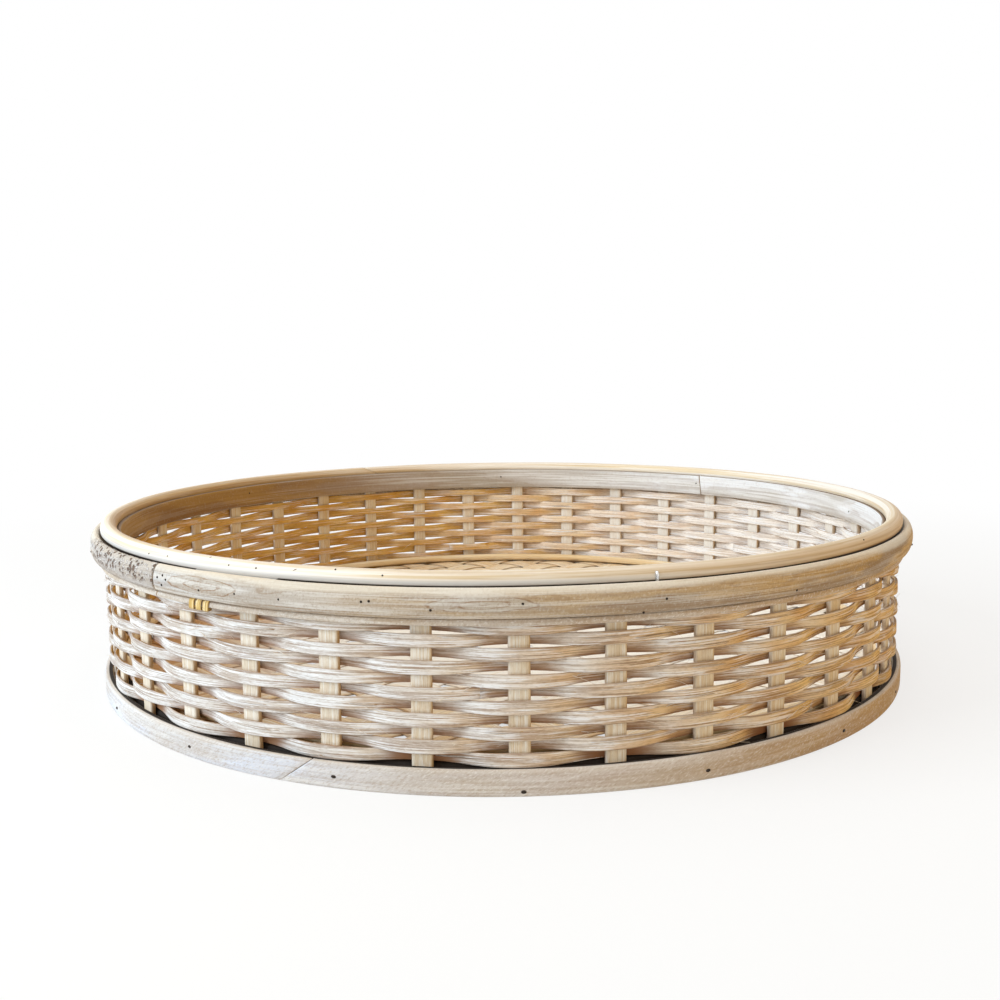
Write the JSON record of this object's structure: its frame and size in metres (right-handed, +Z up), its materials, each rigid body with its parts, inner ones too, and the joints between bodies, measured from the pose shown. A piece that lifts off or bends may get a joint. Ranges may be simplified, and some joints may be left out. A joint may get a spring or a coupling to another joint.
{
  "type": "rattan tray",
  "caption": "Round shallow tray of woven rattan, with a plain-weave wall on flat stakes, a banded rim under a round cane and a woven base.",
  "frame": {"origin": "centre of the ring that the tray stands on, at floor level", "axes": "+Z up out of the tray, -Y towards the viewer of the picture, +X to the viewer's right"},
  "size_m": [0.4004, 0.4004, 0.0797],
  "materials": {
    "whitewashed_pole": "split rattan pole, sanded and whitewashed, matt",
    "inner_band": "flat rattan strip, whitewashed, matt",
    "honey_cane": "round cane, clear satin",
    "weaver_strip": "flat rattan strip with white streaks, matt",
    "stake_strip": "flat pale rattan strip, matt",
    "base_strip": "flat rattan strip, matt",
    "lashing_peel": "rattan peel, glossy",
    "steel_pin": "small nail heads, dulled"
  },
  "bodies": {
    "root": {"stake_01": "stake_strip", "stake_02": "stake_strip", "stake_03": "stake_strip", "stake_04": "stake_strip", "stake_05": "stake_strip", "stake_06": "stake_strip", "stake_07": "stake_strip", "stake_08": "stake_strip", "stake_09": "stake_strip", "stake_10": "stake_strip", "stake_11": "stake_strip", "stake_12": "stake_strip", "stake_13": "stake_strip", "stake_14": "stake_strip", "stake_15": "stake_strip", "stake_16": "stake_strip", "stake_17": "stake_strip", "stake_18": "stake_strip", "stake_19": "stake_strip", "stake_20": "stake_strip", "stake_21": "stake_strip", "stake_22": "stake_strip", "stake_23": "stake_strip", "stake_24": "stake_strip", "stake_25": "stake_strip", "stake_26": "stake_strip", "stake_27": "stake_strip", "stake_28": "stake_strip", "stake_29": "stake_strip", "stake_30": "stake_strip", "stake_31": "stake_strip", "stake_32": "stake_strip", "stake_33": "stake_strip", "stake_34": "stake_strip", "stake_35": "stake_strip", "stake_36": "stake_strip", "weaver_row_01": "weaver_strip", "weaver_row_02": "weaver_strip", "weaver_row_03": "weaver_strip", "weaver_row_04": "weaver_strip", "weaver_row_05": "weaver_strip", "weaver_row_06": "weaver_strip", "weaver_row_07": "weaver_strip", "weaver_row_08": "weaver_strip", "weaver_row_09": "weaver_strip", "weaver_row_10": "weaver_strip", "weaver_row_11": "weaver_strip", "base_outer_band": "whitewashed_pole", "base_inner_hoop": "whitewashed_pole", "base_mat": "base_strip", "base_ring_cane": "honey_cane", "rim_outer_band": "whitewashed_pole", "rim_inner_band": "inner_band", "rim_top_cane": "honey_cane", "rim_lower_reed": "whitewashed_pole", "reed_lashing": "lashing_peel"}
  },
  "joints": []
}
